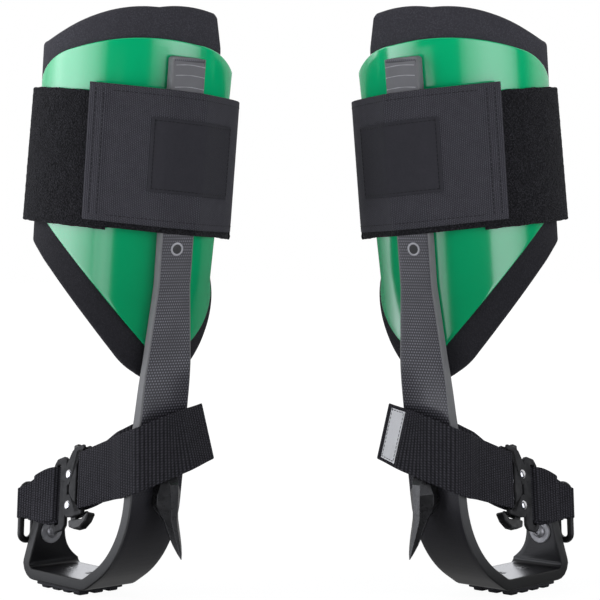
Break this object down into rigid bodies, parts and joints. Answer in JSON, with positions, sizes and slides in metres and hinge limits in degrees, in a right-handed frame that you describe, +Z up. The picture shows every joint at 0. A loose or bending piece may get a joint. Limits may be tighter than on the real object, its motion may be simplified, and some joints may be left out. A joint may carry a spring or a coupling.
{
  "type": "pair of tree climbing spikes",
  "caption": "Left and right tree climbing spikes: carbon shanks with steel gaffs, padded green calf cuffs, hook-and-loop calf straps and ankle straps with side-release buckles",
  "frame": {"origin": "centre of the right climber's foot plate, on its top face where the boot's sole rests", "axes": "+X to the left climber, across the pair; +Y to the back of the pair, away from the toes; +Z up"},
  "size_m": [0.4226, 0.1649, 0.4165],
  "materials": {
    "carbon": "satin woven carbon",
    "steel": "plain",
    "bright_steel": "bright",
    "black_steel": "blackened",
    "dark_metal": "dark anodised",
    "rubber": "lugged",
    "webbing": "ribbed webbing",
    "green_paint": "glossy green",
    "foam_cloth": "foam-backed knit",
    "strap_cloth": "woven nylon and loop",
    "patch_cloth": "plain stitched",
    "white_cloth": "blank woven tag"
  },
  "bodies": {
    "right_frame": {"right_shank": "carbon", "right_hole_eyelets": "steel", "right_stirrup_tread": "rubber", "right_tread_screws": "steel", "right_gaff": "black_steel", "right_gaff_bolts": "black_steel", "right_gaff_nuts": "black_steel", "right_cuff_bolts": "black_steel", "right_cuff_nut_plate": "steel", "right_ankle_strap": "webbing", "right_buckle_webbing_bar": "black_steel", "right_buckle_base_plate": "dark_metal", "right_buckle_cover_plate": "dark_metal", "right_buckle_rivets": "bright_steel", "right_clip_spring": "steel", "right_anchor_webbing": "webbing", "right_anchor_chape": "black_steel", "right_anchor_washer": "bright_steel", "right_anchor_bolt": "bright_steel", "right_anchor_nut": "black_steel"},
    "right_cuff": {"right_cuff_shell": "green_paint", "right_cuff_pad": "foam_cloth", "right_calf_strap": "strap_cloth"},
    "right_flap": {"right_strap_flap": "strap_cloth", "right_flap_patch": "patch_cloth"},
    "right_tongue": {"right_buckle_tongue": "dark_metal"},
    "right_upper_clip": {"right_upper_release_clip": "black_steel"},
    "right_lower_clip": {"right_lower_release_clip": "black_steel"},
    "right_ring": {"right_anchor_ring": "black_steel"},
    "left_frame": {"left_shank": "carbon", "left_hole_eyelets": "steel", "left_stirrup_tread": "rubber", "left_tread_screws": "steel", "left_gaff": "black_steel", "left_gaff_bolts": "black_steel", "left_gaff_nuts": "black_steel", "left_cuff_bolts": "black_steel", "left_cuff_nut_plate": "steel", "left_ankle_strap": "webbing", "left_buckle_webbing_bar": "black_steel", "left_buckle_base_plate": "dark_metal", "left_buckle_cover_plate": "dark_metal", "left_buckle_rivets": "bright_steel", "left_clip_spring": "steel", "left_anchor_webbing": "webbing", "left_anchor_chape": "black_steel", "left_anchor_washer": "bright_steel", "left_anchor_bolt": "bright_steel", "left_anchor_nut": "black_steel", "left_strap_tag": "white_cloth"},
    "left_cuff": {"left_cuff_shell": "green_paint", "left_cuff_pad": "foam_cloth", "left_calf_strap": "strap_cloth"},
    "left_flap": {"left_strap_flap": "strap_cloth", "left_flap_patch": "patch_cloth"},
    "left_tongue": {"left_buckle_tongue": "dark_metal"},
    "left_upper_clip": {"left_upper_release_clip": "black_steel"},
    "left_lower_clip": {"left_lower_release_clip": "black_steel"},
    "left_ring": {"left_anchor_ring": "black_steel"}
  },
  "joints": [
    {"name": "right_cuff_height", "type": "slide", "parent": "right_frame", "child": "right_cuff", "axis": [0.0782, -0.1355, 0.9877], "range_m": [-0.012, 0.012]},
    {"name": "right_flap_open", "type": "hinge", "parent": "right_cuff", "child": "right_flap", "pos_m": [0.11342, -0.01067, 0.29905], "axis": [0.0782, -0.1355, 0.9877], "range_deg": [0, 55]},
    {"name": "right_tongue_release", "type": "slide", "parent": "right_frame", "child": "right_tongue", "axis": [-0.6364, 0.7068, -0.309], "range_m": [0, 0.016], "deforming": ["right_anchor_webbing"]},
    {"name": "right_upper_clip_press", "type": "hinge", "parent": "right_frame", "child": "right_upper_clip", "pos_m": [-0.00282, -0.01813, 0.07251], "axis": [0.7714, 0.5799, -0.2621], "range_deg": [0, 8], "stiffness_Nm_per_rad": 0.05, "springref_deg": -8.59, "deforming": ["right_clip_spring"]},
    {"name": "right_lower_clip_press", "type": "hinge", "parent": "right_frame", "child": "right_lower_clip", "pos_m": [-0.00296, -0.02745, 0.05149], "axis": [-0.7714, -0.5799, 0.2621], "range_deg": [0, 8], "stiffness_Nm_per_rad": 0.05, "springref_deg": -8.59},
    {"name": "right_ring_swing", "type": "hinge", "parent": "right_frame", "child": "right_ring", "pos_m": [-0.03652, 0.02412, 0.03885], "axis": [-0.0467, 0.0518, -0.9976], "range_deg": [-8, 25]},
    {"name": "left_cuff_height", "type": "slide", "parent": "left_frame", "child": "left_cuff", "axis": [-0.0782, -0.1355, 0.9877], "range_m": [-0.012, 0.012]},
    {"name": "left_flap_open", "type": "hinge", "parent": "left_cuff", "child": "left_flap", "pos_m": [0.20358, -0.01067, 0.29905], "axis": [0.0782, 0.1355, -0.9877], "range_deg": [0, 55]},
    {"name": "left_tongue_release", "type": "slide", "parent": "left_frame", "child": "left_tongue", "axis": [0.6364, 0.7068, -0.309], "range_m": [0, 0.016], "deforming": ["left_anchor_webbing"]},
    {"name": "left_upper_clip_press", "type": "hinge", "parent": "left_frame", "child": "left_upper_clip", "pos_m": [0.31982, -0.01813, 0.07251], "axis": [0.7714, -0.5799, 0.2621], "range_deg": [0, 8], "stiffness_Nm_per_rad": 0.05, "springref_deg": -8.59, "deforming": ["left_clip_spring"]},
    {"name": "left_lower_clip_press", "type": "hinge", "parent": "left_frame", "child": "left_lower_clip", "pos_m": [0.31996, -0.02745, 0.05149], "axis": [-0.7714, 0.5799, -0.2621], "range_deg": [0, 8], "stiffness_Nm_per_rad": 0.05, "springref_deg": -8.59},
    {"name": "left_ring_swing", "type": "hinge", "parent": "left_frame", "child": "left_ring", "pos_m": [0.35352, 0.02412, 0.03885], "axis": [-0.0467, -0.0518, 0.9976], "range_deg": [-8, 25]},
    {"name": "left_step", "type": "slide", "parent": "right_frame", "child": "left_frame", "axis": [0, 0, 1], "range_m": [0, 0.25]}
  ]
}
